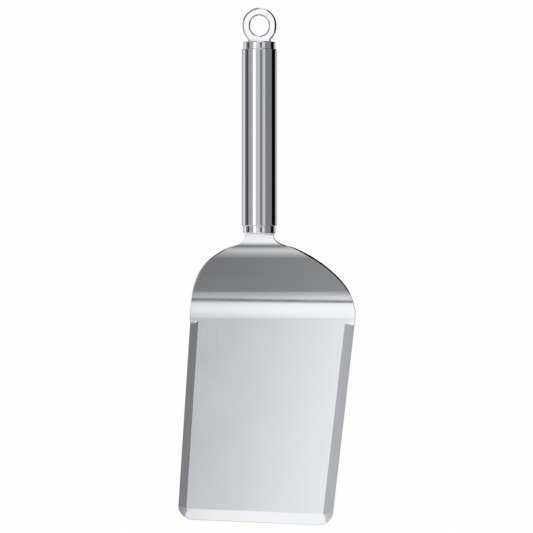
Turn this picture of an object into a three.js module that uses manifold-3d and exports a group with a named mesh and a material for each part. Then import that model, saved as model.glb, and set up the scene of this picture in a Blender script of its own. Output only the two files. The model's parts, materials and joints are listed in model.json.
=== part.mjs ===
import * as THREE from "three";
import { mergeVertices } from "three/addons/utils/BufferGeometryUtils.js";
import Module from "manifold-3d";

// A griddle spatula in millimetres, +Z up. The blade lies flat on z = 0 with its tip towards -Y, the
// handle rises towards +Y, and the origin is on the blade's underside, below the handle's axis and
// halfway along the flat.

// Driving dimensions of the bent sheet, seen from the side
const SHEET_THICKNESS = 2.0;
const EDGE_ROUND = 0.4;
const BLADE_LENGTH = 117.1;
const LOWER_BEND_RADIUS = 20;
const SHOULDER_FLAT = 24;
const UPPER_BEND_RADIUS = 16;
const NECK_FLAT = 2.5;
const TANG_LENGTH = 7.5;
const SHOULDER_RISE_DEG = 54;
const HANDLE_RISE_DEG = 12;

// Driving dimensions of the sheet's outline, laid flat: reaches are measured from the handle's axis
const NECK_WIDTH = 16.6;
const TANG_WIDTH = 12;
const LEFT_REACH = 39.64;
const RIGHT_REACH = 54.84;
const LEFT_SLANT_DEG = 3.33;
const RIGHT_SLANT_DEG = 6.72;
const FRONT_SLANT_DEG = 2.5;
const CORNER_RADIUS = 8;

// Each side sweeps from the heel to a join beside the neck, then flares into it. The join lies "join"
// short of the neck's end and "reach" out from the axis, and the line leans there by leanDeg from the
// axis. The flare ends "flare" short of the neck's end. The pulls and the tuck are the lengths of the
// curves' end tangents.
const LEFT_CURVE = {
  flare: 1.9,
  flarePull: 3.3,
  tuck: 0.9,
  join: 6.8,
  reach: 15,
  leanDeg: 66.6,
  innerPull: 22.3,
  outerPull: 20.7,
};
const RIGHT_CURVE = {
  flare: 1.8,
  flarePull: 2.8,
  tuck: 1,
  join: 6.9,
  reach: 15.5,
  leanDeg: 78.4,
  innerPull: 15.5,
  outerPull: 18.4,
};

// Driving dimensions of the ground edges: the edge's thickness, each bevel's width in plan, where the
// side bevels start below the heel, how long they take to reach full depth, and the spare that is
// ground away
const GROUND_EDGE = 0.7;
const LEFT_BEVEL = 4.7;
const RIGHT_BEVEL = 5.6;
const FRONT_BEVEL = 6.1;
const LEFT_START = 1.4;
const RIGHT_START = 3.1;
const LEFT_RUNOUT = 2.2;
const RIGHT_RUNOUT = 0.8;
const TRIM_MARGIN = 0.1;

// Driving dimensions of the handle
const TUBE_DIAMETER = 20;
const TUBE_WALL = 0.6;
const TUBE_LENGTH = 100;
const TUBE_END_ROUND = 0.45;
const COLLAR_LENGTH = 4.2;
const CAP_EDGE_ROUND = 0.5;
const CAP_INSERT = 5;
const CAP_WALL = 0.9;
const CAP_FACE = 1.6;
const PRESS_GAP = 0.25;

// Driving dimensions of the hanging eye and of the two weld beads. The eye and its hole are longer
// than they are wide, by the stretch.
const EYE_DIAMETER = 19.2;
const EYE_HOLE_DIAMETER = 10.4;
const EYE_STRETCH = 1;
const EYE_RISE = 9.25;
const EYE_THICKNESS = 3;
const EYE_EDGE_ROUND = 0.9;
const STEM_WIDTH = 12.7;
const STEM_FILLET = 1.5;
const STEM_TAIL = 6;
const WELD_THROAT = 1.2;
const WELD_HEIGHT = 1.8;

// Clearances, cut overruns and facet counts
const FIT_GAP = 0.3;
const OVERRUN = 6;
const ROUND_FACETS = 56;
const EDGE_FACETS = 2;
const CORNER_FACETS = 8;
const EYE_FACETS = 14;
const OUTLINE_FACETS = 60;
const LOWER_BEND_STEPS = 12;
const SHOULDER_STEPS = 12;
const UPPER_BEND_STEPS = 20;
const NECK_STEPS = 4;

const shoulderRise = THREE.MathUtils.degToRad(SHOULDER_RISE_DEG);
const handleRise = THREE.MathUtils.degToRad(HANDLE_RISE_DEG);
const leftSlant = THREE.MathUtils.degToRad(LEFT_SLANT_DEG);
const rightSlant = THREE.MathUtils.degToRad(RIGHT_SLANT_DEG);
const frontSlant = THREE.MathUtils.degToRad(FRONT_SLANT_DEG);
const quarter = Math.PI / 2;

const heelY = BLADE_LENGTH / 2;
const lowerArc = LOWER_BEND_RADIUS * shoulderRise;
const upperArc = UPPER_BEND_RADIUS * (shoulderRise - handleRise);
const neckEnd = lowerArc + SHOULDER_FLAT + upperArc + NECK_FLAT;
const grindTrim = EDGE_ROUND + TRIM_MARGIN;
const capRadius = TUBE_DIAMETER / 2 - TUBE_WALL - PRESS_GAP;
const handleLength = COLLAR_LENGTH + TUBE_LENGTH + COLLAR_LENGTH;
const frontSpare = OVERRUN + (LEFT_REACH + RIGHT_REACH) * Math.tan(frontSlant);
const clearOfAll = 2 * (BLADE_LENGTH + neckEnd + TANG_LENGTH + LEFT_REACH + RIGHT_REACH);

const wasm = await Module();
wasm.setup();

// A closed mesh becomes a solid once its shared corners are one vertex each
function toSolid(geometry) {
  const bare = geometry.clone();
  bare.deleteAttribute("normal");
  bare.deleteAttribute("uv");
  const merged = mergeVertices(bare);
  const corners = merged.index.array;
  const kept = [];
  for (let i = 0; i < corners.length; i += 3) {
    const [a, b, c] = [corners[i], corners[i + 1], corners[i + 2]];
    if (a !== b && b !== c && c !== a) kept.push(a, b, c);
  }
  return new wasm.Manifold(new wasm.Mesh({
    numProp: 3,
    vertProperties: new Float32Array(merged.attributes.position.array),
    triVerts: new Uint32Array(kept),
  }));
}

function toGeometry(solid) {
  const mesh = solid.getMesh();
  const geometry = new THREE.BufferGeometry();
  geometry.setAttribute("position", new THREE.BufferAttribute(new Float32Array(mesh.vertProperties), 3));
  geometry.setIndex(new THREE.BufferAttribute(new Uint32Array(mesh.triVerts), 1));
  geometry.computeVertexNormals();
  return geometry;
}

// Rings with equally many points, joined side to side and closed at both ends
function loft(rings) {
  const count = rings[0].length;
  const faces = [];
  for (let ring = 0; ring + 1 < rings.length; ring += 1) {
    for (let point = 0; point < count; point += 1) {
      const a = ring * count + point;
      const b = ring * count + (point + 1) % count;
      faces.push(a, b, b + count, a, b + count, a + count);
    }
  }
  const last = (rings.length - 1) * count;
  for (let point = 1; point + 1 < count; point += 1) {
    faces.push(0, point + 1, point);
    faces.push(last, last + point, last + point + 1);
  }
  const geometry = new THREE.BufferGeometry().setFromPoints(rings.flat());
  geometry.setIndex(faces);
  return toSolid(geometry);
}

// Where the sheet's middle surface lies and how steeply it climbs, by distance from the heel
const sheetRun = [
  { length: lowerArc, turn: shoulderRise },
  { length: SHOULDER_FLAT, turn: 0 },
  { length: upperArc, turn: handleRise - shoulderRise },
  { length: NECK_FLAT + TANG_LENGTH, turn: 0 },
];

function alongSheet(distance) {
  const place = { y: heelY + Math.min(distance, 0), z: SHEET_THICKNESS / 2, climb: 0 };
  let ahead = Math.max(distance, 0);
  for (const { length, turn } of sheetRun) {
    const step = Math.min(ahead, length);
    const turned = turn * step / length;
    const chord = turned === 0 ? step : 2 * step / turned * Math.sin(turned / 2);
    place.y += chord * Math.cos(place.climb + turned / 2);
    place.z += chord * Math.sin(place.climb + turned / 2);
    place.climb += turned;
    ahead -= step;
  }
  return place;
}

// How far one side of the outline reaches from the handle's axis, by distance from the heel
function sideReach(heelReach, lean, curve) {
  const joinLean = THREE.MathUtils.degToRad(curve.leanDeg);
  const join = new THREE.Vector2(curve.reach, neckEnd - curve.join);
  const towardsHeel = new THREE.Vector2(Math.sin(joinLean), -Math.cos(joinLean));
  const heel = new THREE.Vector2(heelReach, 0);
  const fromHeel = new THREE.Vector2(Math.sin(lean), Math.cos(lean));
  const flare = new THREE.Vector2(NECK_WIDTH / 2, neckEnd - curve.flare);
  const shoulder = new THREE.CubicBezierCurve(
    heel,
    heel.clone().addScaledVector(fromHeel, curve.outerPull),
    join.clone().addScaledVector(towardsHeel, curve.innerPull),
    join,
  );
  const neck = new THREE.CubicBezierCurve(
    join,
    join.clone().addScaledVector(towardsHeel, -curve.tuck),
    new THREE.Vector2(flare.x, flare.y - curve.flarePull),
    flare,
  );
  const line = [...shoulder.getPoints(OUTLINE_FACETS), ...neck.getPoints(OUTLINE_FACETS).slice(1)];
  return (distance) => {
    if (distance <= 0) return heelReach + distance * Math.tan(lean);
    const next = line.findIndex((point) => point.y >= distance);
    if (next < 0) return NECK_WIDTH / 2;
    const from = line[next - 1];
    const share = (distance - from.y) / (line[next].y - from.y);
    return from.x + share * (line[next].x - from.x);
  };
}

// One cross-section of the sheet, with its four long edges rounded
function sheetRing(distance, leftReach, rightReach) {
  const { y, z, climb } = alongSheet(distance);
  const sides = [
    { x: rightReach - EDGE_ROUND, h: SHEET_THICKNESS / 2 - EDGE_ROUND, from: 0 },
    { x: EDGE_ROUND - leftReach, h: SHEET_THICKNESS / 2 - EDGE_ROUND, from: quarter },
    { x: EDGE_ROUND - leftReach, h: EDGE_ROUND - SHEET_THICKNESS / 2, from: 2 * quarter },
    { x: rightReach - EDGE_ROUND, h: EDGE_ROUND - SHEET_THICKNESS / 2, from: 3 * quarter },
  ];
  const ring = [];
  for (const side of sides) {
    for (let step = 0; step <= EDGE_FACETS; step += 1) {
      const angle = side.from + quarter * step / EDGE_FACETS;
      const x = side.x + EDGE_ROUND * Math.cos(angle);
      const height = side.h + EDGE_ROUND * Math.sin(angle);
      ring.push(new THREE.Vector3(x, y - height * Math.sin(climb), z + height * Math.cos(climb)));
    }
  }
  return ring;
}

function spread(from, to, steps) {
  return Array.from({ length: steps }, (_, i) => from + (to - from) * (i + 1) / steps);
}

// The stamped and bent sheet before grinding: it runs past the front edge, and its tang is still as
// wide as the neck
function bentSheet() {
  const leftReach = sideReach(LEFT_REACH + grindTrim, -leftSlant, LEFT_CURVE);
  const rightReach = sideReach(RIGHT_REACH + grindTrim, rightSlant, RIGHT_CURVE);
  const stations = [
    -BLADE_LENGTH - frontSpare,
    0,
    ...spread(0, lowerArc, LOWER_BEND_STEPS),
    ...spread(lowerArc, lowerArc + SHOULDER_FLAT, SHOULDER_STEPS),
    ...spread(lowerArc + SHOULDER_FLAT, neckEnd - NECK_FLAT, UPPER_BEND_STEPS),
    ...spread(neckEnd - NECK_FLAT, neckEnd, NECK_STEPS),
    neckEnd + TANG_LENGTH,
  ];
  return loft(stations.reverse().map((at) => sheetRing(at, leftReach(at), rightReach(at))));
}

// Plan lines of the ground edges: a point on each, and the direction that keeps the blade on the left
const leftEdge = {
  point: new THREE.Vector2(-LEFT_REACH, heelY),
  along: new THREE.Vector2(Math.sin(leftSlant), Math.cos(leftSlant)).negate(),
};
const frontEdge = {
  point: new THREE.Vector2(0, heelY - BLADE_LENGTH),
  along: new THREE.Vector2(Math.cos(frontSlant), -Math.sin(frontSlant)),
};
const rightEdge = {
  point: new THREE.Vector2(RIGHT_REACH, heelY),
  along: new THREE.Vector2(Math.sin(rightSlant), Math.cos(rightSlant)),
};

function outwardOf(edge) {
  return new THREE.Vector2(edge.along.y, -edge.along.x);
}

function movedIn(edge, distance) {
  return { point: edge.point.clone().addScaledVector(outwardOf(edge), -distance), along: edge.along };
}

function crossing(one, other) {
  const gap = other.point.clone().sub(one.point);
  const reach = gap.cross(other.along) / one.along.cross(other.along);
  return one.point.clone().addScaledVector(one.along, reach);
}

// A front corner, round at the ground edge and sharp where the two bevels' inner lines meet
function cornerPoints(before, beforeBevel, after, afterBevel, full) {
  const meeting = crossing(movedIn(before, beforeBevel), movedIn(after, afterBevel));
  const centre = crossing(movedIn(before, CORNER_RADIUS), movedIn(after, CORNER_RADIUS));
  const fromAngle = outwardOf(before).angle();
  const sweep = before.along.angleTo(after.along);
  return Array.from({ length: CORNER_FACETS + 1 }, (_, i) => {
    const angle = fromAngle + sweep * i / CORNER_FACETS;
    const spoke = new THREE.Vector2(Math.cos(angle), Math.sin(angle)).multiplyScalar(CORNER_RADIUS);
    return full ? meeting.clone() : spoke.add(centre);
  });
}

// One level of the space that grinding leaves. Behind the run-outs it is wide open to the shoulder.
function groundRing(z) {
  const full = z >= SHEET_THICKNESS;
  const fall = Math.max(SHEET_THICKNESS - z, 0) / (SHEET_THICKNESS - GROUND_EDGE);
  const leftY = heelY - LEFT_START - fall * LEFT_RUNOUT;
  const rightY = heelY - RIGHT_START - fall * RIGHT_RUNOUT;
  const across = (y) => ({ point: new THREE.Vector2(0, y), along: new THREE.Vector2(1, 0) });
  const plan = [
    new THREE.Vector2(0, clearOfAll),
    new THREE.Vector2(-clearOfAll, clearOfAll),
    new THREE.Vector2(-clearOfAll, leftY),
    crossing(full ? movedIn(leftEdge, LEFT_BEVEL) : leftEdge, across(leftY)),
    ...cornerPoints(leftEdge, LEFT_BEVEL, frontEdge, FRONT_BEVEL, full),
    ...cornerPoints(frontEdge, FRONT_BEVEL, rightEdge, RIGHT_BEVEL, full),
    crossing(full ? movedIn(rightEdge, RIGHT_BEVEL) : rightEdge, across(rightY)),
    new THREE.Vector2(clearOfAll, rightY),
    new THREE.Vector2(clearOfAll, clearOfAll),
  ];
  return plan.map((point) => new THREE.Vector3(point.x, point.y, z));
}

// Blade, shoulder, neck and tang: one stamped sheet, bent twice and ground on three edges
function makeBlade() {
  const ground = loft([-OVERRUN, GROUND_EDGE, SHEET_THICKNESS, clearOfAll].map(groundRing));
  const { y, z } = alongSheet(neckEnd);
  const notchWidth = NECK_WIDTH - TANG_WIDTH;
  const notch = (side) => {
    const box = new THREE.BoxGeometry(notchWidth, TANG_LENGTH + OVERRUN, SHEET_THICKNESS + OVERRUN);
    box.translate(side * (TANG_WIDTH + notchWidth) / 2, (TANG_LENGTH + OVERRUN) / 2 - FIT_GAP, 0);
    return toSolid(box.rotateX(handleRise).translate(0, y, z));
  };
  return toGeometry(bentSheet().intersect(ground).subtract(notch(-1)).subtract(notch(1)));
}

// A quarter round in a lathe profile, from one angle through a right angle
function roundPoints(centreR, centreY, radius, fromAngle) {
  return Array.from({ length: EDGE_FACETS + 1 }, (_, i) => {
    const angle = fromAngle + quarter * i / EDGE_FACETS;
    return new THREE.Vector2(centreR + radius * Math.cos(angle), centreY + radius * Math.sin(angle));
  });
}

// The tube: drawn steel with its outer end edges rounded over
function makeTube() {
  const outer = TUBE_DIAMETER / 2;
  const inner = outer - TUBE_WALL;
  const profile = [
    new THREE.Vector2(inner, 0),
    ...roundPoints(outer - TUBE_END_ROUND, TUBE_END_ROUND, TUBE_END_ROUND, -quarter),
    ...roundPoints(outer - TUBE_END_ROUND, TUBE_LENGTH - TUBE_END_ROUND, TUBE_END_ROUND, 0),
    new THREE.Vector2(inner, TUBE_LENGTH),
    new THREE.Vector2(inner, 0),
  ];
  return new THREE.LatheGeometry(profile, ROUND_FACETS);
}

// A cap: a turned cup pressed into the tube's end, its face slotted for the tang or stem that it holds
function makeCap(slotWidth, slotThickness) {
  const depth = COLLAR_LENGTH + CAP_INSERT;
  const profile = [
    new THREE.Vector2(0, 0),
    ...roundPoints(capRadius - CAP_EDGE_ROUND, CAP_EDGE_ROUND, CAP_EDGE_ROUND, -quarter),
    new THREE.Vector2(capRadius, depth),
    new THREE.Vector2(capRadius - CAP_WALL, depth),
    new THREE.Vector2(capRadius - CAP_WALL, CAP_FACE),
    new THREE.Vector2(0, CAP_FACE),
  ];
  const slotLength = 2 * (CAP_FACE + OVERRUN);
  const slot = new THREE.BoxGeometry(slotWidth + 2 * FIT_GAP, slotLength, slotThickness + 2 * FIT_GAP);
  return toGeometry(toSolid(new THREE.LatheGeometry(profile, ROUND_FACETS)).subtract(toSolid(slot)));
}

// The eye: a flat oval ring with rounded edges on a short stem, whose tail passes through the rear cap
function makeEye() {
  const radius = EYE_DIAMETER / 2;
  const side = STEM_WIDTH / 2;
  const endY = EYE_STRETCH / 2;
  const filletX = side + STEM_FILLET;
  const filletDrop = Math.sqrt((radius + STEM_FILLET) ** 2 - filletX ** 2);
  const filletY = -endY - filletDrop;
  const lean = Math.atan2(filletDrop, filletX);
  const tailY = -EYE_RISE - STEM_TAIL;
  const outline = new THREE.Shape();
  outline.moveTo(-side, tailY);
  outline.lineTo(-side, filletY);
  outline.absarc(-filletX, filletY, STEM_FILLET, 0, lean, false);
  outline.absarc(0, -endY, radius, Math.PI + lean, Math.PI, true);
  outline.absarc(0, endY, radius, Math.PI, 0, true);
  outline.absarc(0, -endY, radius, 0, -lean, true);
  outline.absarc(filletX, filletY, STEM_FILLET, Math.PI - lean, Math.PI, false);
  outline.lineTo(side, tailY);
  outline.closePath();
  const hole = new THREE.Path();
  hole.absarc(0, endY, EYE_HOLE_DIAMETER / 2, 0, Math.PI, false);
  hole.absarc(0, -endY, EYE_HOLE_DIAMETER / 2, Math.PI, 2 * Math.PI, false);
  hole.closePath();
  outline.holes.push(hole);
  const flat = EYE_THICKNESS - 2 * EYE_EDGE_ROUND;
  const geometry = new THREE.ExtrudeGeometry(outline, {
    depth: flat,
    bevelThickness: EYE_EDGE_ROUND,
    bevelSize: EYE_EDGE_ROUND,
    bevelOffset: -EYE_EDGE_ROUND,
    bevelSegments: EDGE_FACETS,
    curveSegments: EYE_FACETS,
  });
  return geometry.translate(0, 0, -flat / 2);
}

// A weld bead: filler metal laid all round a flat bar, on the inner side of a cap's face
function makeWeld(barWidth, barThickness) {
  const side = barWidth / 2 + FIT_GAP;
  const top = barThickness / 2 + FIT_GAP;
  const bead = new THREE.Shape();
  bead.absarc(side, top, WELD_THROAT, 0, quarter, false);
  bead.absarc(-side, top, WELD_THROAT, quarter, 2 * quarter, false);
  bead.absarc(-side, -top, WELD_THROAT, 2 * quarter, 3 * quarter, false);
  bead.absarc(side, -top, WELD_THROAT, 3 * quarter, 4 * quarter, false);
  bead.closePath();
  const bar = new THREE.Path([
    new THREE.Vector2(-side, -top),
    new THREE.Vector2(side, -top),
    new THREE.Vector2(side, top),
    new THREE.Vector2(-side, top),
  ]);
  bar.closePath();
  bead.holes.push(bar);
  const options = { depth: WELD_HEIGHT, bevelEnabled: false, curveSegments: EDGE_FACETS };
  return new THREE.ExtrudeGeometry(bead, options).rotateX(-quarter);
}

const polished = new THREE.MeshStandardMaterial({ color: 0xc9ccd0, roughness: 0.12, metalness: 1 });
const ground = new THREE.MeshStandardMaterial({ color: 0xc4c7cb, roughness: 0.2, metalness: 1 });
const welded = new THREE.MeshStandardMaterial({ color: 0x8d8a86, roughness: 0.5, metalness: 1 });

function named(name, geometry, material) {
  const mesh = new THREE.Mesh(geometry, material);
  mesh.name = name;
  return mesh;
}

const spatula = new THREE.Group();
spatula.add(named("blade", makeBlade(), ground));

// The handle's own frame: its origin is the centre of the front cap's face, and +Y runs to the eye
const handle = new THREE.Group();
const seat = alongSheet(neckEnd);
handle.position.set(0, seat.y, seat.z);
handle.rotation.x = handleRise;
spatula.add(handle);

const frontCap = named("front_cap", makeCap(TANG_WIDTH, SHEET_THICKNESS), polished);
handle.add(frontCap);

const tube = named("handle_tube", makeTube(), polished);
tube.position.y = COLLAR_LENGTH;
handle.add(tube);

const rearCap = named("rear_cap", makeCap(STEM_WIDTH, EYE_THICKNESS), polished);
rearCap.position.y = handleLength;
rearCap.rotation.x = Math.PI;
handle.add(rearCap);

const eye = named("hanging_eye", makeEye(), polished);
eye.position.y = handleLength + EYE_RISE;
handle.add(eye);

const tangWeld = named("tang_weld", makeWeld(TANG_WIDTH, SHEET_THICKNESS), welded);
tangWeld.position.y = CAP_FACE + FIT_GAP;
handle.add(tangWeld);

const eyeWeld = named("eye_weld", makeWeld(STEM_WIDTH, EYE_THICKNESS), welded);
eyeWeld.position.y = handleLength - CAP_FACE - FIT_GAP;
eyeWeld.rotation.x = Math.PI;
handle.add(eyeWeld);

export default spatula;
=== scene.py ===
import json
import math

import bmesh
import bpy
from mathutils import Matrix, Vector
from mathutils.geometry import interpolate_bezier, intersect_line_line


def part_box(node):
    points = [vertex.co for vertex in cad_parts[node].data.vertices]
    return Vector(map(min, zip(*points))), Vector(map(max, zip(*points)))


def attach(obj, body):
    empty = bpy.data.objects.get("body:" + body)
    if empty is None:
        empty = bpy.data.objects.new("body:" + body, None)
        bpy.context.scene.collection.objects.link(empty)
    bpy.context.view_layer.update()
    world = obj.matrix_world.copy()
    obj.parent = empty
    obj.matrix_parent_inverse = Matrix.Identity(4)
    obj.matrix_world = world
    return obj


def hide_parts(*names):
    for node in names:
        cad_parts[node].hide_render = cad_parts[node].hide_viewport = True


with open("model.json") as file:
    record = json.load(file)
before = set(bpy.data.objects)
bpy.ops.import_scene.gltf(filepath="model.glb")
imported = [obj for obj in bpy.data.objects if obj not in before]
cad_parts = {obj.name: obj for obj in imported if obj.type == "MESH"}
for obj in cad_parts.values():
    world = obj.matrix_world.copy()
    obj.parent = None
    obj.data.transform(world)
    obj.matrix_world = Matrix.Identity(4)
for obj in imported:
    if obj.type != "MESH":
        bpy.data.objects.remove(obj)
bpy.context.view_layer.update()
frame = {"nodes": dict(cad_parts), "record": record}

# Camera: a long lens held square to the handle, so the blade is seen a little from the front.
# It aims below the collar and slightly to the right of the handle's axis.
LENS_LENGTH = 0.2161
SENSOR_WIDTH = 0.036
CAMERA_DISTANCE = 1.808
AIM_BELOW_GRIP = 0.0727
AIM_TO_THE_RIGHT = 0.004
METRE_IN_MM = 1000

grip_low, grip_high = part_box("handle_tube")
grip_middle = (grip_low + grip_high) / 2
eye_back = next(mount for mount in frame["record"]["mounts"] if mount["name"] == "eye_back")
handle_down = Vector(eye_back["axis"]).normalized()
handle_up = -handle_down
handle_along = Vector((0, handle_up.z, -handle_up.y))
handle_rise = math.atan2(handle_along.z, handle_along.y)

camera_data = bpy.data.cameras.new("camera")
camera_data.lens = LENS_LENGTH * METRE_IN_MM
camera_data.sensor_width = SENSOR_WIDTH * METRE_IN_MM
camera = bpy.data.objects.new("camera", camera_data)
aim = grip_middle - handle_along * AIM_BELOW_GRIP + Vector((AIM_TO_THE_RIGHT, 0, 0))
camera.location = aim + handle_up * CAMERA_DISTANCE
camera.rotation_euler = (handle_rise, 0, 0)
bpy.context.scene.collection.objects.link(camera)
bpy.context.scene.camera = camera
bpy.context.scene.view_settings.view_transform = "Standard"

# Blade, shoulder, neck and tang: one stamped sheet of 2 mm stainless steel, bent twice and ground to
# thin edges on three sides. It is modelled flat, ground, given its rounded rim, and then bent.
SHEET_THICKNESS = 0.002
BLADE_LENGTH = 0.1171
LOWER_BEND_RADIUS = 0.020
SHOULDER_FLAT = 0.024
UPPER_BEND_RADIUS = 0.016
NECK_FLAT = 0.0025
TANG_LENGTH = 0.0075
SHOULDER_RISE = math.radians(54)
NECK_WIDTH = 0.0166
TANG_WIDTH = 0.012
SEAT_GAP = 0.00005

LEFT_REACH = 0.03964
RIGHT_REACH = 0.05484
LEFT_SLANT = math.radians(3.33)
RIGHT_SLANT = math.radians(6.72)
FRONT_SLANT = math.radians(2.5)
CORNER_RADIUS = 0.008
# A side's outline: the shoulder's curve joins the neck's at a reach from the axis and a distance
# below the neck's end, with a lean, and each pull and the tuck hold a curve to its end's direction
LEFT_CURVE = {
    "flare": 0.0019, "flare_pull": 0.0033, "tuck": 0.0009,
    "join": 0.0068, "reach": 0.015, "lean": math.radians(66.6),
    "inner_pull": 0.0223, "outer_pull": 0.0207,
}
RIGHT_CURVE = {
    "flare": 0.0018, "flare_pull": 0.0028, "tuck": 0.001,
    "join": 0.0069, "reach": 0.0155, "lean": math.radians(78.4),
    "inner_pull": 0.0155, "outer_pull": 0.0184,
}

GROUND_EDGE = 0.0007
LEFT_BEVEL = 0.0047
RIGHT_BEVEL = 0.0056
FRONT_BEVEL = 0.0061
# How far ahead of the heel each side's ground edge starts, over what length it runs out, and how far
# the lip beside it stands out
LEFT_START = 0.0014
RIGHT_START = 0.0031
LEFT_RUNOUT = 0.0022
RIGHT_RUNOUT = 0.0008
LEFT_LIP = 0.0004
RIGHT_LIP = 0
LIP_LENGTH = 0.001

LEFT_RIM_ROUND = 0.0002
RIGHT_RIM_ROUND = 0.0004
# How much of that the right rim keeps, by the distance from the heel: it is crisper up the shoulder
RIGHT_RIM_SHARES = [(0.008, 1), (0.015, 0.35), (0.046, 0.35), (0.051, 1)]
RIM_SEGMENTS = 4
LAND_ROUND = 0.00012
LAND_SEGMENTS = 2
CORNER_SEGMENTS = 20
SHOULDER_POINTS = 64
NECK_POINTS = 16
BEND_ROWS = 40
CREASE_ANGLE = math.radians(7)
SQUARE_ANGLE = math.radians(60)
# The upward share of a face's normal below which the face stands upright
UPRIGHT_SHARE = 0.5
# How far round a corner its rounding reaches, as a share of its radius, with a little to spare
CORNER_REACH_SHARE = 1.05
CLOSE = 1e-6

lower_arc = LOWER_BEND_RADIUS * SHOULDER_RISE
upper_arc = UPPER_BEND_RADIUS * (SHOULDER_RISE - handle_rise)
upper_start = lower_arc + SHOULDER_FLAT
neck_end = upper_start + upper_arc + NECK_FLAT


def side_line(heel_reach, slant, curve, start, lip):
    """The outline of one side in the flat sheet, from where the ground edge starts to the neck's end."""
    join = Vector((curve["reach"], neck_end - curve["join"], 0))
    to_heel = Vector((math.sin(curve["lean"]), -math.cos(curve["lean"]), 0))
    heel = Vector((heel_reach + lip, 0, 0))
    from_heel = Vector((math.sin(slant), math.cos(slant), 0))
    flare = Vector((NECK_WIDTH / 2, neck_end - curve["flare"], 0))
    shoulder = interpolate_bezier(
        heel,
        heel + from_heel * curve["outer_pull"],
        join + to_heel * curve["inner_pull"],
        join,
        SHOULDER_POINTS,
    )
    neck = interpolate_bezier(
        join,
        join - to_heel * curve["tuck"],
        flare - Vector((0, curve["flare_pull"], 0)),
        flare,
        NECK_POINTS,
    )
    lip_end = heel - from_heel * (start - LIP_LENGTH)
    ground_start = Vector((heel_reach - start * math.tan(slant), -start, 0))
    return [ground_start, lip_end, *shoulder, *neck[1:]]


def edge_line(point, direction):
    """A line in the flat sheet, as a point on it, its direction and its outward normal."""
    direction = direction.normalized()
    return {"point": point, "direction": direction, "outward": Vector((direction.y, -direction.x, 0))}


def moved_in(line, distance):
    return {**line, "point": line["point"] - line["outward"] * distance}


def crossing(one, other):
    """The point where two lines of the flat sheet cross."""
    start, other_start = one["point"], other["point"]
    end, other_end = start + one["direction"], other_start + other["direction"]
    return intersect_line_line(start, end, other_start, other_end)[0]


def lies_on(line, vertex):
    flat = Vector((vertex.co.x, vertex.co.y, 0))
    return abs((flat - line["point"]).dot(line["outward"])) < CLOSE


def beyond(line, middle):
    return (middle - line["point"]).dot(line["outward"]) > 0


def cut(mesh, line, wanted):
    """Cuts the faces whose middle is wanted along a line of the flat sheet."""
    faces = [face for face in mesh.faces if wanted(face.calc_center_median())]
    parts = {part for face in faces for part in (*face.verts, *face.edges)}
    geometry = [*faces, *parts]
    bmesh.ops.bisect_plane(
        mesh, geom=geometry, dist=CLOSE, plane_co=line["point"], plane_no=line["outward"]
    )


def split_between(one, other):
    """Splits the face that two vertices share along the line between them."""
    for face in set(one.link_faces) & set(other.link_faces):
        if not any(other in edge.verts for edge in one.link_edges):
            bmesh.utils.face_split(face, one, other)


def rounded(mesh, parts, reach, segments, affect="EDGES"):
    """Rounds edges or corners of a mesh, over a reach to each side."""
    return bmesh.ops.bevel(
        mesh, geom=parts, affect=affect, offset=reach, segments=segments, profile=0.5, material=-1
    )


left_edge = edge_line(
    Vector((-LEFT_REACH, 0, 0)), Vector((-math.sin(LEFT_SLANT), -math.cos(LEFT_SLANT), 0))
)
front_edge = edge_line(
    Vector((0, -BLADE_LENGTH, 0)), Vector((math.cos(FRONT_SLANT), -math.sin(FRONT_SLANT), 0))
)
right_edge = edge_line(
    Vector((RIGHT_REACH, 0, 0)), Vector((math.sin(RIGHT_SLANT), math.cos(RIGHT_SLANT), 0))
)
ground_edges = (left_edge, front_edge, right_edge)
left_corner = crossing(left_edge, front_edge)
right_corner = crossing(front_edge, right_edge)

right_side = side_line(RIGHT_REACH, RIGHT_SLANT, RIGHT_CURVE, RIGHT_START, RIGHT_LIP)
left_mirrored = side_line(LEFT_REACH, -LEFT_SLANT, LEFT_CURVE, LEFT_START, LEFT_LIP)
left_side = [Vector((-point.x, point.y, 0)) for point in left_mirrored]

left_full = LEFT_START + LEFT_RUNOUT
right_full = RIGHT_START + RIGHT_RUNOUT
left_runout = left_edge["point"] + left_edge["direction"] * (left_full / math.cos(LEFT_SLANT))
right_runout = right_edge["point"] - right_edge["direction"] * (right_full / math.cos(RIGHT_SLANT))
neck_top = neck_end - SEAT_GAP
tang_top = neck_end + TANG_LENGTH
tang = [
    Vector((NECK_WIDTH / 2, neck_top, 0)),
    Vector((TANG_WIDTH / 2, neck_top, 0)),
    Vector((TANG_WIDTH / 2, tang_top, 0)),
    Vector((-TANG_WIDTH / 2, tang_top, 0)),
    Vector((-TANG_WIDTH / 2, neck_top, 0)),
    Vector((-NECK_WIDTH / 2, neck_top, 0)),
]
outline = [left_corner, right_corner, right_runout, *right_side, *tang, *reversed(left_side), left_runout]

sheet = bmesh.new()
sheet.faces.new([sheet.verts.new(point) for point in outline])
sheet.verts.ensure_lookup_table()
for corner, before, after in zip(sheet.verts[:2], ground_edges, ground_edges[1:]):
    turn = before["direction"].angle(after["direction"])
    rounded(sheet, [corner], CORNER_RADIUS * math.tan(turn / 2), CORNER_SEGMENTS, "VERTICES")

across = Vector((1, 0, 0))
rows = [0, upper_start + upper_arc, neck_top]
rows += [lower_arc * (row + 1) / BEND_ROWS for row in range(BEND_ROWS)]
rows += [upper_start + upper_arc * row / BEND_ROWS for row in range(BEND_ROWS)]
for row in rows:
    cut(sheet, edge_line(Vector((0, row, 0)), across), lambda middle: True)

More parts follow.
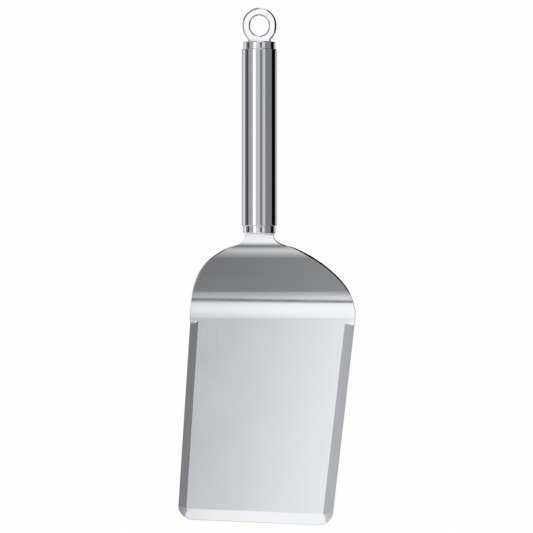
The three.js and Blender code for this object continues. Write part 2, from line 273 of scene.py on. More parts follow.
left_inner = moved_in(left_edge, LEFT_BEVEL)
right_inner = moved_in(right_edge, RIGHT_BEVEL)
front_inner = moved_in(front_edge, FRONT_BEVEL)
left_start_row = edge_line(Vector((0, -LEFT_START, 0)), across)
right_start_row = edge_line(Vector((0, -RIGHT_START, 0)), across)
cut(sheet, left_inner, lambda middle: middle.y < 0)
cut(sheet, right_inner, lambda middle: middle.y < 0)
cut(sheet, left_start_row, lambda middle: middle.y < 0 and beyond(left_inner, middle))
cut(sheet, right_start_row, lambda middle: middle.y < 0 and beyond(right_inner, middle))
cut(sheet, front_inner, lambda middle: middle.y < -RIGHT_START)

# The rounded corners are ground in a fan, whose two outer folds stay crisp
corner_reach = CORNER_RADIUS * CORNER_REACH_SHARE
fan_sides = []
for side_inner, corner in ((left_inner, left_corner), (right_inner, right_corner)):
    meeting = next(v for v in sheet.verts if lies_on(side_inner, v) and lies_on(front_inner, v))
    corner_verts = [v for v in sheet.verts if v.is_boundary and (v.co - corner).length < corner_reach]
    for vertex in corner_verts:
        split_between(meeting, vertex)
        if any(lies_on(line, vertex) for line in ground_edges):
            fan_sides.append((meeting, vertex))
for inner, start_row, runout in (
    (left_inner, left_start_row, left_runout),
    (right_inner, right_start_row, right_runout),
):
    inner_start = next(v for v in sheet.verts if lies_on(inner, v) and lies_on(start_row, v))
    runout_vertex = min(sheet.verts, key=lambda v: (v.co - runout).length)
    split_between(inner_start, runout_vertex)
for one, other in fan_sides:
    shared = next((edge for edge in one.link_edges if other in edge.verts), None)
    if shared:
        shared.smooth = False

bmesh.ops.solidify(sheet, geom=sheet.faces[:], thickness=SHEET_THICKNESS)
bmesh.ops.recalc_face_normals(sheet, faces=sheet.faces[:])
lowest = min(vertex.co.z for vertex in sheet.verts)
bmesh.ops.translate(sheet, verts=sheet.verts[:], vec=(0, 0, -lowest))


def is_ground(vertex):
    """Whether a vertex lies where the ground edges have their full width."""
    full_from = left_full if vertex.co.x < 0 else right_full
    return vertex.co.y < CLOSE - full_from


def on_rim(vertex):
    return any(abs(face.normal.z) < UPRIGHT_SHARE for face in vertex.link_faces)


def is_level(edge):
    return abs(edge.verts[0].co.z - edge.verts[1].co.z) < CLOSE


def right_of_axis(edge):
    """Whether an edge lies to the right of the handle's axis and ahead of the tang."""
    return sum(v.co.x for v in edge.verts) > CLOSE and min(v.co.y for v in edge.verts) < neck_top


def rim_share(distance):
    """How much of the right rim's rounding is kept at a distance from the heel."""
    for (start, share), (end, next_share) in zip(RIGHT_RIM_SHARES, RIGHT_RIM_SHARES[1:]):
        if start < distance < end:
            return share + (next_share - share) * (distance - start) / (end - start)
    return 1


for vertex in sheet.verts:
    if vertex.co.z > SHEET_THICKNESS / 2 and is_ground(vertex) and on_rim(vertex):
        vertex.co.z = GROUND_EDGE
sheet.normal_update()
for edge in sheet.edges:
    if CREASE_ANGLE < edge.calc_face_angle(0) < SQUARE_ANGLE:
        edge.smooth = False

square = [edge for edge in sheet.edges if edge.calc_face_angle(0) > SQUARE_ANGLE]
rim = [edge for edge in square if is_level(edge) and not any(is_ground(v) for v in edge.verts)]
right_rim = [edge for edge in rim if right_of_axis(edge)]
left_rim = [edge for edge in rim if not right_of_axis(edge)]
land = [e for e in square if all(is_ground(v) for v in e.verts) and e.verts[0].co.z > CLOSE]
rounded(sheet, land, LAND_ROUND, LAND_SEGMENTS)
rounded(sheet, [edge for edge in left_rim if edge.is_valid], LEFT_RIM_ROUND, RIM_SEGMENTS)
right_rim = [edge for edge in right_rim if edge.is_valid]
sharp_corners = [vertex.co.copy() for vertex in {v for edge in right_rim for v in edge.verts}]
right_round = rounded(sheet, right_rim, RIGHT_RIM_ROUND, RIM_SEGMENTS)
for vertex in right_round["verts"]:
    sharp = min(sharp_corners, key=lambda place: (place - vertex.co).length_squared)
    vertex.co = sharp.lerp(vertex.co, rim_share(sharp.y))

sheet_run = [
    (lower_arc, SHOULDER_RISE),
    (SHOULDER_FLAT, 0),
    (upper_arc, handle_rise - SHOULDER_RISE),
    (NECK_FLAT + TANG_LENGTH, 0),
]


def sheet_place(distance):
    """Where the middle of the sheet lies at a distance from the heel, and how steeply it climbs there."""
    y = BLADE_LENGTH / 2 + min(distance, 0)
    z = SHEET_THICKNESS / 2
    climb = 0
    ahead = max(distance, 0)
    for length, turn in sheet_run:
        step = min(ahead, length)
        turned = turn * step / length
        chord = step if turned == 0 else 2 * step / turned * math.sin(turned / 2)
        y += chord * math.cos(climb + turned / 2)
        z += chord * math.sin(climb + turned / 2)
        climb += turned
        ahead -= step
    return y, z, climb


for vertex in sheet.verts:
    y, z, climb = sheet_place(vertex.co.y)
    height = vertex.co.z - SHEET_THICKNESS / 2
    vertex.co.y = y - height * math.sin(climb)
    vertex.co.z = z + height * math.cos(climb)

# The steel's grain and its rubbed patches, and how much each changes the gloss and the colour
GRAIN_NOISE = {"Scale": 1, "Detail": 3, "Roughness": 0.6}
GRAIN_RANGE = (0.35, 0.65)
GRAIN_ROUGHNESS = 0.012
PATCH_NOISE = {"Scale": 38, "Detail": 4, "Roughness": 0.55}
PATCH_RANGE = (0.3, 0.7)
PATCH_ROUGHNESS_SHARES = (0.85, 1.2)
PATCH_COLOUR_SHARES = (0.985, 1)


def node(tree, kind, values=None, **settings):
    """Adds a shader node, sets it, and fills or links its inputs."""
    made = tree.nodes.new(kind)
    for name, value in settings.items():
        setattr(made, name, value)
    for name, value in (values or {}).items():
        if isinstance(value, bpy.types.NodeSocket):
            tree.links.new(value, made.inputs[name])
        else:
            made.inputs[name].default_value = value
    return made


def calculated(tree, operation, *values):
    """The result of one sum on numbers or sockets."""
    return node(tree, "ShaderNodeMath", dict(enumerate(values)), operation=operation).outputs["Value"]


def remapped(tree, value, low, high, to_low=0, to_high=1):
    return node(tree, "ShaderNodeMapRange", {
        "Value": value, "From Min": low, "From Max": high, "To Min": to_low, "To Max": to_high,
    }).outputs["Result"]


def new_material(name):
    material = bpy.data.materials.new(name)
    material.use_nodes = True
    material.node_tree.nodes.clear()
    return material, material.node_tree


def steel(name, tint, roughness, grain_scales, grain_depth):
    """Polished stainless steel: a fine grain in its height and gloss, and softly rubbed patches."""
    material, tree = new_material(name)
    place = node(tree, "ShaderNodeTexCoord").outputs["Object"]
    stretched = node(tree, "ShaderNodeMapping", {"Vector": place, "Scale": grain_scales})
    grain = node(tree, "ShaderNodeTexNoise", {"Vector": stretched.outputs["Vector"], **GRAIN_NOISE})
    patches = node(tree, "ShaderNodeTexNoise", {"Vector": place, **PATCH_NOISE}).outputs["Fac"]
    rubbed = remapped(tree, patches, *PATCH_RANGE, *[roughness * share for share in PATCH_ROUGHNESS_SHARES])
    streaks = remapped(tree, grain.outputs["Fac"], *GRAIN_RANGE, -GRAIN_ROUGHNESS, GRAIN_ROUGHNESS)
    shade = remapped(tree, patches, *PATCH_RANGE, *PATCH_COLOUR_SHARES)
    colour = node(tree, "ShaderNodeVectorMath", {0: tint, 1: shade}, operation="MULTIPLY")
    bump = node(tree, "ShaderNodeBump", {
        "Height": grain.outputs["Fac"], "Distance": grain_depth, "Strength": 1,
    })
    surface = node(tree, "ShaderNodeBsdfPrincipled", {
        "Base Color": colour.outputs["Vector"],
        "Metallic": 1,
        "Roughness": calculated(tree, "ADD", rubbed, streaks),
        "Normal": bump.outputs["Normal"],
    })
    node(tree, "ShaderNodeOutputMaterial", {"Surface": surface.outputs["BSDF"]})
    return material


def make_piece(name, mesh, material, replaced):
    """Closes the mesh's seams, shades it smooth and puts it in place of its plain solid."""
    bmesh.ops.remove_doubles(mesh, verts=mesh.verts[:], dist=CLOSE)
    bmesh.ops.recalc_face_normals(mesh, faces=mesh.faces[:])
    for face in mesh.faces:
        face.smooth = True
    data = bpy.data.meshes.new(name)
    mesh.to_mesh(data)
    mesh.free()
    data.materials.append(material)
    piece = bpy.data.objects.new(name, data)
    bpy.context.scene.collection.objects.link(piece)
    even = piece.modifiers.new("even_normals", "WEIGHTED_NORMAL")
    even.keep_sharp = True
    even.weight = 100
    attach(piece, "root")
    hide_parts(replaced)


BLADE_TINT = (0.770, 0.790, 0.838)
BLADE_ROUGHNESS = 0.10
BLADE_GRAIN = (2600, 9, 9)
BLADE_GRAIN_DEPTH = 0.000002
blade_steel = steel("blade_steel", BLADE_TINT, BLADE_ROUGHNESS, BLADE_GRAIN, BLADE_GRAIN_DEPTH)
make_piece("blade_sheet", sheet, blade_steel, "blade")

# Caps: two turned cups of stainless steel, pressed into the tube's ends until a short collar shows.
# Each is a chain of loops from the slot for the bar that it holds, over the face, to the cup's inside.
COLLAR_LENGTH = 0.0042
CAP_RADIUS = 0.00918
CAP_WALL = 0.0009
CAP_FACE = 0.0016
CAP_INSERT = 0.005
CAP_EDGE_ROUND = 0.0005
EDGE_SEGMENTS = 5
TURNED_SEGMENTS = 160
SLOT_GAP = 0.0001
EYE_THICKNESS = 0.003
STEM_WIDTH = 0.0127
TUBE_RADIUS = 0.010

tube_half = ((grip_high - grip_low).y / 2 - TUBE_RADIUS * math.sin(handle_rise)) / math.cos(handle_rise)
handle_turn = Matrix.Rotation(handle_rise, 4, "X")


def handle_place(offset):
    """The handle's own frame, moved along its axis: the axis is +Y, and the top faces +Z."""
    return Matrix.Translation(grip_middle + handle_along * offset) @ handle_turn


def ring_loop(mesh, place):
    """The edges of a loop round the Y axis, whose points are each placed by their angle."""
    made = bmesh.ops.create_circle(mesh, segments=TURNED_SEGMENTS, radius=1)["verts"]
    for vertex in made:
        vertex.co = place(math.atan2(vertex.co.y, vertex.co.x))
    return list({edge for vertex in made for edge in vertex.link_edges})


def turned(radius, y):
    """A circle round the Y axis, as places by angle."""
    return lambda angle: Vector((radius * math.cos(angle), y, radius * math.sin(angle)))


def slotted(width, thickness, y):
    """A rectangle round the Y axis, as places by angle: the loop of a slot."""
    half_width, half_height = width / 2 + SLOT_GAP, thickness / 2 + SLOT_GAP

    def place(angle):
        to_side = half_width / max(abs(math.cos(angle)), CLOSE)
        to_top = half_height / max(abs(math.sin(angle)), CLOSE)
        reach = min(to_side, to_top)
        return Vector((reach * math.cos(angle), y, reach * math.sin(angle)))
    return place


def joined_loops(mesh, places):
    """Bridges each loop to the next one, and the last one to the first."""
    loops = [ring_loop(mesh, place) for place in places]
    for one, other in zip(loops, loops[1:] + loops[:1]):
        bmesh.ops.bridge_loops(mesh, edges=one + other)


def from_axis(middle):
    return Vector((middle.x, middle.z)).length


def round_over(mesh, chosen, reach):
    """Rounds the turned edges whose middle is chosen."""
    mesh.normal_update()
    edges = [
        edge for edge in mesh.edges
        if edge.calc_face_angle(0) > SQUARE_ANGLE and chosen((edge.verts[0].co + edge.verts[1].co) / 2)
    ]
    rounded(mesh, edges, reach, EDGE_SEGMENTS)


def make_cap(name, bar_width, bar_thickness, place, material):
    mesh = bmesh.new()
    depth = COLLAR_LENGTH + CAP_INSERT
    joined_loops(mesh, [
        slotted(bar_width, bar_thickness, CAP_FACE),
        slotted(bar_width, bar_thickness, 0),
        turned(CAP_RADIUS, 0),
        turned(CAP_RADIUS, depth),
        turned(CAP_RADIUS - CAP_WALL, depth),
        turned(CAP_RADIUS - CAP_WALL, CAP_FACE),
    ])
    mid_wall = CAP_RADIUS - CAP_WALL / 2
    round_over(mesh, lambda middle: middle.y < CLOSE and from_axis(middle) > mid_wall, CAP_EDGE_ROUND)
    bmesh.ops.transform(mesh, matrix=place, verts=mesh.verts[:])
    make_piece(name + "_turned", mesh, material, name)


CAP_TINT = (0.852, 0.862, 0.90)
CAP_ROUGHNESS = 0.07
CAP_GRAIN = (14, 5200, 14)
CAP_GRAIN_DEPTH = 0.0000012
cap_steel = steel("cap_steel", CAP_TINT, CAP_ROUGHNESS, CAP_GRAIN, CAP_GRAIN_DEPTH)
front_cap_place = handle_place(-tube_half - COLLAR_LENGTH)
rear_cap_place = handle_place(tube_half + COLLAR_LENGTH) @ Matrix.Rotation(math.pi, 4, "X")
make_cap("front_cap", TANG_WIDTH, SHEET_THICKNESS, front_cap_place, cap_steel)
make_cap("rear_cap", STEM_WIDTH, EYE_THICKNESS, rear_cap_place, cap_steel)

# Handle: a drawn round tube of thin stainless steel, mirror-polished and plain, with its cut ends
# rounded over. The two cups are pressed into it.
TUBE_INNER_RADIUS = 0.0092
TUBE_END_ROUND = 0.00045
TUBE_TINT = (0.776, 0.785, 0.82)
TUBE_ROUGHNESS = 0.06
TUBE_GRAIN = (12, 4200, 12)
TUBE_GRAIN_DEPTH = 0.000001

tube_steel = steel("tube_steel", TUBE_TINT, TUBE_ROUGHNESS, TUBE_GRAIN, TUBE_GRAIN_DEPTH)
tube = bmesh.new()
joined_loops(tube, [
    turned(TUBE_INNER_RADIUS, -tube_half),
    turned(TUBE_RADIUS, -tube_half),
    turned(TUBE_RADIUS, tube_half),
    turned(TUBE_INNER_RADIUS, tube_half),
])
tube_mid_wall = (TUBE_RADIUS + TUBE_INNER_RADIUS) / 2
round_over(tube, lambda middle: from_axis(middle) > tube_mid_wall, TUBE_END_ROUND)
bmesh.ops.transform(tube, matrix=handle_place(0), verts=tube.verts[:])
make_piece("handle_tube_drawn", tube, tube_steel, "handle_tube")

# Hanging eye: a flat forged ring, slightly oval, with softly rounded edges. Its short stem runs through
# the rear cap's slot and is welded inside it.
EYE_RADIUS = 0.0096
EYE_HOLE_RADIUS = 0.0052
EYE_STRETCH = 0.001
EYE_RISE = 0.00925
EYE_EDGE_ROUND = 0.0011
EYE_EDGE_SEGMENTS = 7
STEM_FILLET = 0.0015
STEM_TAIL = 0.006
TOP_POINTS = 48
CHEEK_POINTS = 16
TAIL_POINTS = 9
FILLET_POINTS = 10
EYE_ROUGHNESS = 0.1
EYE_GRAIN = (900, 60, 900)
EYE_GRAIN_DEPTH = 0.0000015


def arc(centre, radius, start, end, points):
    steps = [start + (end - start) * step / (points - 1) for step in range(points)]
    return [centre + Vector((math.cos(angle), math.sin(angle), 0)) * radius for angle in steps]


stem_side = STEM_WIDTH / 2
eye_end = Vector((0, EYE_STRETCH / 2, 0))
fillet_x = stem_side + STEM_FILLET
fillet_drop = math.sqrt((EYE_RADIUS + STEM_FILLET) ** 2 - fillet_x ** 2)
fillet_y = -eye_end.y - fillet_drop
lean = math.atan2(fillet_drop, fillet_x)
tail_y = -EYE_RISE - STEM_TAIL
tail_steps = [1 - 2 * step / (TAIL_POINTS - 1) for step in range(TAIL_POINTS)]
ring_steps = [
    (-eye_end, -lean, 0, CHEEK_POINTS),
    (eye_end, 0, math.pi, TOP_POINTS),
    (-eye_end, math.pi, math.pi + lean, CHEEK_POINTS),
]


def ring_outline(radius, closing):
    """The ring's outline at a radius, from the stem's right side over the top, and what closes it."""
    return [point for middle, *turn in ring_steps for point in arc(middle, radius, *turn)] + closing


stem_outline = [
    *arc(Vector((-fillet_x, fillet_y, 0)), STEM_FILLET, lean, 0, FILLET_POINTS)[1:],
    *[Vector((-stem_side * step, tail_y, 0)) for step in tail_steps],
    *arc(Vector((fillet_x, fillet_y, 0)), STEM_FILLET, math.pi, math.pi - lean, FILLET_POINTS)[:-1],
]
closing_points = len(stem_outline) + 2
hole_below = arc(-eye_end, EYE_HOLE_RADIUS, math.pi + lean, 2 * math.pi - lean, closing_points)[1:-1]
eye = bmesh.new()
eye_loops = []
for points in (ring_outline(EYE_RADIUS, stem_outline), ring_outline(EYE_HOLE_RADIUS, hole_below)):
    corners = [eye.verts.new(point) for point in points]
    eye_loops += [eye.edges.new(pair) for pair in zip(corners, corners[1:] + corners[:1])]
bmesh.ops.bridge_loops(eye, edges=eye_loops)
bmesh.ops.solidify(eye, geom=eye.faces[:], thickness=EYE_THICKNESS)
bmesh.ops.recalc_face_normals(eye, faces=eye.faces[:])
eye_lowest = min(vertex.co.z for vertex in eye.verts)
bmesh.ops.translate(eye, verts=eye.verts[:], vec=(0, 0, -eye_lowest - EYE_THICKNESS / 2))

# The stem's tail is cut off square, and every other edge is rounded
eye_rims = [
    edge for edge in eye.edges
    if edge.calc_face_angle(0) > SQUARE_ANGLE and is_level(edge)
    and max(v.co.y for v in edge.verts) > tail_y + CLOSE
]
rounded(eye, eye_rims, EYE_EDGE_ROUND, EYE_EDGE_SEGMENTS)
for edge in eye.edges:
    if max(v.co.y for v in edge.verts) < tail_y + CLOSE:
        edge.smooth = False
eye_place = handle_place(tube_half + COLLAR_LENGTH + EYE_RISE)
bmesh.ops.transform(eye, matrix=eye_place, verts=eye.verts[:])
eye_steel = steel("eye_steel", TUBE_TINT, EYE_ROUGHNESS, EYE_GRAIN, EYE_GRAIN_DEPTH)
make_piece("hanging_eye_forged", eye, eye_steel, "hanging_eye")

# Weld beads: stainless filler laid round the tang and round the eye's stem, inside the caps.
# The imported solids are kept, with a rippled, heat-tinted finish.
WELD_RIPPLES = {"Scale": 900, "Detail": 3, "Roughness": 0.5}
WELD_RIPPLE_DEPTH = 0.0002
WELD_ROUGHNESS = 0.45
WELD_DARK = (0.42, 0.38, 0.34, 1)
WELD_PALE = (0.6, 0.6, 0.62, 1)


def mixed(tree, share, one, other):
    """One colour where the share is 0, the other where it is 1."""
    mix = node(tree, "ShaderNodeMix", {"Factor": share, "A": one, "B": other}, data_type="RGBA")
    return mix.outputs["Result"]


weld, weld_tree = new_material("weld_bead")
weld_place = node(weld_tree, "ShaderNodeTexCoord").outputs["Object"]
ripples = node(weld_tree, "ShaderNodeTexNoise", {"Vector": weld_place, **WELD_RIPPLES}).outputs["Fac"]
weld_bump = node(weld_tree, "ShaderNodeBump", {
    "Height": ripples, "Distance": WELD_RIPPLE_DEPTH, "Strength": 1,
})
weld_surface = node(weld_tree, "ShaderNodeBsdfPrincipled", {
    "Base Color": mixed(weld_tree, ripples, WELD_DARK, WELD_PALE),
    "Metallic": 1,
    "Roughness": WELD_ROUGHNESS,
    "Normal": weld_bump.outputs["Normal"],
})
node(weld_tree, "ShaderNodeOutputMaterial", {"Surface": weld_surface.outputs["BSDF"]})
for weld_name in ("tang_weld", "eye_weld"):
    weld_materials = frame["nodes"][weld_name].data.materials
    weld_materials.clear()
    weld_materials.append(weld)

# Floor: a plain white sweep, far wider than the view. Most of its white is given as light to the
# camera, so that it stays as white as paper, and the rest takes the tool's shadow. From below it is
# clear.
FLOOR_HALF = 12
FLOOR_DROP = 0.0002
FLOOR_COLOUR = (0.95, 0.95, 0.95, 1)
FLOOR_WHITE = (1, 1, 1, 1)
FLOOR_GLOW = 0.93

floor_mesh = bmesh.new()
bmesh.ops.create_grid(floor_mesh, x_segments=1, y_segments=1, size=FLOOR_HALF)
bmesh.ops.translate(floor_mesh, verts=floor_mesh.verts[:], vec=(0, 0, -FLOOR_DROP))
floor_data = bpy.data.meshes.new("floor")
floor_mesh.to_mesh(floor_data)
floor_mesh.free()
floor = bpy.data.objects.new("floor", floor_data)
bpy.context.scene.collection.objects.link(floor)
floor_paint, floor_tree = new_material("floor_paint")
floor_matt = node(floor_tree, "ShaderNodeBsdfPrincipled", {
    "Base Color": FLOOR_COLOUR, "Roughness": 1, "Specular IOR Level": 0,
})
floor_white = node(floor_tree, "ShaderNodeEmission", {"Color": FLOOR_WHITE, "Strength": 1})
floor_path = node(floor_tree, "ShaderNodeLightPath")
floor_share = calculated(floor_tree, "MULTIPLY", floor_path.outputs["Is Camera Ray"], FLOOR_GLOW)
floor_top = node(floor_tree, "ShaderNodeMixShader", {
    "Fac": floor_share, 1: floor_matt.outputs["BSDF"], 2: floor_white.outputs["Emission"],
})
floor_side = node(floor_tree, "ShaderNodeNewGeometry")
floor_clear = node(floor_tree, "ShaderNodeBsdfTransparent")
floor_mix = node(floor_tree, "ShaderNodeMixShader", {
    "Fac": floor_side.outputs["Backfacing"], 1: floor_top.outputs["Shader"], 2: floor_clear.outputs["BSDF"],
})
node(floor_tree, "ShaderNodeOutputMaterial", {"Surface": floor_mix.outputs["Shader"]})
floor_data.materials.append(floor_paint)
floor.visible_glossy = False

# Studio: a pale tent all round, whose bands of light and shade the polished steel reflects. They are
# laid out by the angle round the handle, from -180 to 180 degrees with the camera at 0 and the right
# side above 0, and by the angle along the handle, from -90 at the blade's end to 90 at the eye's.
TENT_LIGHT = 1.0
BACKGROUND = 1.0
BRIGHTEST = 1.18
# What is left of the light after a second mirroring, and the ray depths between which it drops
TWICE_MIRRORED = 0.75
MIRRORING_DEPTHS = (2, 3)

# Brightness by the angle along the handle, and how it changes from left to right, by the angle that
# a ray makes with the plane through the handle
LENGTH_BANDS = [
    (-90, 0.25), (-84.4, 0.25), (-80.4, 0.28), (-76, 0.34), (-72, 0.38), (-67.5, 0.44), (-63.4, 0.51),
    (-59.4, 0.575), (-55.5, 0.63), (-51.6, 0.70), (-48.5, 0.70), (-46, 0.54), (-43, 0.20), (-40.4, 0.06),
    (-38, 0.20), (-35.6, 0.55), (-33.2, 0.83), (-29.6, 1.01), (-26, 1.11), (-19, 1.18), (-8.6, 1.22),
    (-1.8, 1.25), (5.1, 1.14), (8.6, 1.05), (12, 1.01), (15.5, 0.97), (18.9, 0.90), (22.4, 0.77),
    (26, 0.65), (40, 0.40), (70, 0.75), (90, 0.85),
]
ACROSS_BANDS = [
    (-90, 0.92), (-17, 0.92), (-15, 1.05), (-6, 1.05), (-4, 0.82), (-2.6, 0.60), (-1.3, 0.75), (0, 1),
    (1.5, 1.38), (4, 1.9), (15, 1.5), (17, 0.92), (90, 0.92),
]
# The same away from that plane, where the bands give way to plain light towards both ends
SIDE_LENGTH_BANDS = [
    (-90, 0.80), (-50, 0.92), (-20, 1.05), (-8.6, 1.095), (-1.8, 1.058), (5.1, 1.0), (8.6, 0.966),
    (12, 0.93), (15.5, 0.892), (18.9, 0.828), (22.4, 0.708), (26, 0.598), (30, 0.64), (45, 0.85),
    (90, 0.85),
]
SIDE_FADE = (18, 28)
# How far the bands lean: degrees along the handle for each degree across, near the camera
LEAN = 2.8
LEAN_REACH = 2.4
LEAN_FADE = (12, 9)

# Brightness by the angle round the handle: across the middle of the tent, and at its two ends
MIDDLE_BANDS = [
    (-180, 0.85), (-173, 0.85), (-171, 0.45), (-136, 0.45), (-134, 0.80), (-109, 0.80), (-107, 0.17),
    (-91, 0.17), (-89, 0.05), (-78.4, 0.05), (-76.4, 0.37), (-60, 0.44), (-45, 0.46), (-36, 0.32),
    (-28, 0.40), (-22, 0.42), (-18.5, 0.40), (-16.5, 1.0), (15, 1.0), (17, 0.60), (38, 0.60), (40, 0.24),
    (87, 0.24), (89, 0.0), (125.3, 0.0), (127.3, 0.55), (171, 0.47), (173, 0.85), (180, 0.85),
]
EYE_END_BANDS = [
    (-180, 0.5), (-165, 0.28), (-115, 0.25), (-75, 0.40), (-55, 0.45), (-42, 0.335), (-36, 0.335),
    (-28, 0.355), (-24, 0.9), (-16, 1.0), (14, 1.0), (20, 0.64), (32, 0.62), (38, 0.40), (60, 0.55),
    (90, 0.45), (102, 0.0), (163, 0.0), (173, 0.5), (180, 0.5),
]
BLADE_END_BANDS = [
    (-180, 0.7), (-140, 0.45), (-100, 0.60), (-60, 0.45), (-30, 0.55), (-16, 1.0), (15, 1.0), (30, 0.60),
    (60, 0.45), (95, 0.60), (125, 0.35), (150, 0.6), (180, 0.7),
]
BLADE_END_FADE = (-16, -8)
EYE_END_FADE = (5.5, 8)


def grey(level):
    return (level, level, level, 1)


def banded(tree, angle, bands):
    """The brightness at an angle or a place, read from a list of those and their brightnesses."""
    low, high = bands[0][0], bands[-1][0]
    ramp = node(tree, "ShaderNodeValToRGB", {"Fac": remapped(tree, angle, low, high)})
    elements = ramp.color_ramp.elements
    while len(elements) < len(bands):
        elements.new(1)
    for element, (at, level) in zip(elements, bands):
        element.position = (at - low) / (high - low)
        element.color = grey(level)
    return ramp.outputs["Color"]


world = bpy.data.worlds.new("studio")
bpy.context.scene.world = world
world.use_nodes = True
tent = world.node_tree
tent.nodes.clear()
ray = node(tent, "ShaderNodeTexCoord").outputs["Generated"]
turned_ray = node(
    tent, "ShaderNodeVectorRotate", {"Vector": ray, "Angle": -handle_rise}, rotation_type="X_AXIS"
)
split = node(tent, "ShaderNodeSeparateXYZ", {"Vector": turned_ray.outputs["Vector"]})
round_angle = calculated(tent, "DEGREES", calculated(tent, "ARCTAN2", split.outputs["X"], split.outputs["Z"]))
length_angle = calculated(tent, "DEGREES", calculated(tent, "ARCSINE", split.outputs["Y"]))
across_angle = calculated(tent, "DEGREES", calculated(tent, "ARCSINE", split.outputs["X"]))

lean_share = remapped(tent, length_angle, *LEAN_FADE)
lean_shift = remapped(tent, across_angle, -LEAN_REACH, LEAN_REACH, -LEAN * LEAN_REACH, LEAN * LEAN_REACH)
leaned = calculated(tent, "MULTIPLY", lean_share, lean_shift)
length_light = banded(tent, calculated(tent, "SUBTRACT", length_angle, leaned), LENGTH_BANDS)
across_light = banded(tent, across_angle, ACROSS_BANDS)
both_lights = calculated(tent, "MULTIPLY", length_light, across_light)
middle_light = calculated(tent, "MINIMUM", BRIGHTEST, both_lights)
side_share = remapped(tent, calculated(tent, "ABSOLUTE", across_angle), *SIDE_FADE)
side_light = banded(tent, length_angle, SIDE_LENGTH_BANDS)
open_light = mixed(tent, side_share, middle_light, side_light)

middle_share = remapped(tent, length_angle, *BLADE_END_FADE)
blade_end_light = banded(tent, round_angle, BLADE_END_BANDS)
blade_half_light = mixed(tent, middle_share, blade_end_light, banded(tent, round_angle, MIDDLE_BANDS))
eye_end_share = remapped(tent, length_angle, *EYE_END_FADE)
round_light = mixed(tent, eye_end_share, blade_half_light, banded(tent, round_angle, EYE_END_BANDS))

path = node(tent, "ShaderNodeLightPath")
mirror_loss = remapped(tent, path.outputs["Ray Depth"], *MIRRORING_DEPTHS, 1, TWICE_MIRRORED)
whole_light = calculated(tent, "MULTIPLY", open_light, round_light)
reflected = calculated(tent, "MULTIPLY", whole_light, mirror_loss)
seen = mixed(tent, path.outputs["Is Glossy Ray"], grey(TENT_LIGHT), reflected)
final = mixed(tent, path.outputs["Is Camera Ray"], seen, grey(BACKGROUND))
shell = node(tent, "ShaderNodeBackground", {"Color": final, "Strength": 1})
node(tent, "ShaderNodeOutputWorld", {"Surface": shell.outputs["Background"]})

# Card in front of the blade: it hangs over the ground front edge, which reflects it nearly white from
# corner to corner, a little greyer at the left.
FRONT_CARD_HEIGHT = 0.030
FRONT_CARD_RUN = (-0.072, -0.060)
FRONT_CARD_SIDES = (-0.052, 0.0464)
FRONT_CARD_LEVELS = [(-0.052, 0.95), (-0.040, 0.98), (-0.030, 1.06), (-0.005, 1.14), (0.0464, 1.14)]


def add_card(name, corners, colour):
    """A flat card that only reflections see. Its colour is a list, or is made from the card's nodes."""
    mesh = bmesh.new()
    mesh.faces.new([mesh.verts.new(corner) for corner in corners])
    data = bpy.data.meshes.new(name)
    mesh.to_mesh(data)
    mesh.free()
    paint, tree = new_material(name + "_paint")
    shown = colour(tree) if callable(colour) else colour
    glow = node(tree, "ShaderNodeEmission", {"Color": shown, "Strength": 1})
    node(tree, "ShaderNodeOutputMaterial", {"Surface": glow.outputs["Emission"]})
    data.materials.append(paint)
    card = bpy.data.objects.new(name, data)
    bpy.context.scene.collection.objects.link(card)
    card.visible_camera = False
    card.visible_diffuse = False
    card.visible_shadow = False


def level_corners(sides, run, height):
    """The corners of a level card, by its left and right side and its near and far end."""
    left, right = sides
    near, far = run
    return [Vector((x, y, height)) for x, y in ((left, near), (right, near), (right, far), (left, far))]


def sideways(tree, place):
    return node(tree, "ShaderNodeSeparateXYZ", {"Vector": place}).outputs["X"]


def faded_across(levels):
    """A colour for a card that changes from left to right, by a list of places and brightnesses."""

    def colour(tree):
        place = node(tree, "ShaderNodeTexCoord").outputs["Object"]
        return banded(tree, sideways(tree, place), levels)
    return colour


front_card_corners = level_corners(FRONT_CARD_SIDES, FRONT_CARD_RUN, FRONT_CARD_HEIGHT)
add_card("front_card", front_card_corners, faded_across(FRONT_CARD_LEVELS))

# Strips over the handle: narrow cards and flags, parallel to it, that draw its long bright and dark
# stripes. Each is given by where its stripe lies across the tube, in shares of the tube's radius, and
# has three parts, over the front collar, the tube and the rear collar, in shares of its half length.
STRIP_HEIGHT = 0.040
STRIP_RUN_SHARES = (-1.08, -0.992, 1.04, 1.13)
STRIPE_SHARES = [-0.368, -0.21, 0.03, 0.17, 0.337]
TUBE_STRIPES = [1.4, 0.63, 0.25, 0.65]
COLLAR_STRIPES = [1.3, 0.70, 0.14, 0.74]


def strip_reach(share):
    """How far beside the handle's axis a strip is seen at a share of the tube's radius."""
    steepness = 2 * math.asin(share)
    above_tube = STRIP_HEIGHT - TUBE_RADIUS * math.sqrt(1 - share ** 2)
    return TUBE_RADIUS * share + above_tube * math.tan(steepness)


strip_reaches = [strip_reach(share) for share in STRIPE_SHARES]
strip_ends = [share * tube_half for share in STRIP_RUN_SHARES]
part_levels = (COLLAR_STRIPES, TUBE_STRIPES, COLLAR_STRIPES)
for part, (run, levels) in enumerate(zip(zip(strip_ends, strip_ends[1:]), part_levels)):
    for stripe, (sides, level) in enumerate(zip(zip(strip_reaches, strip_reaches[1:]), levels)):
        strip_corners = [handle_place(0) @ corner for corner in level_corners(sides, run, STRIP_HEIGHT)]
        add_card(f"strip_{stripe}_{part}", strip_corners, grey(level))

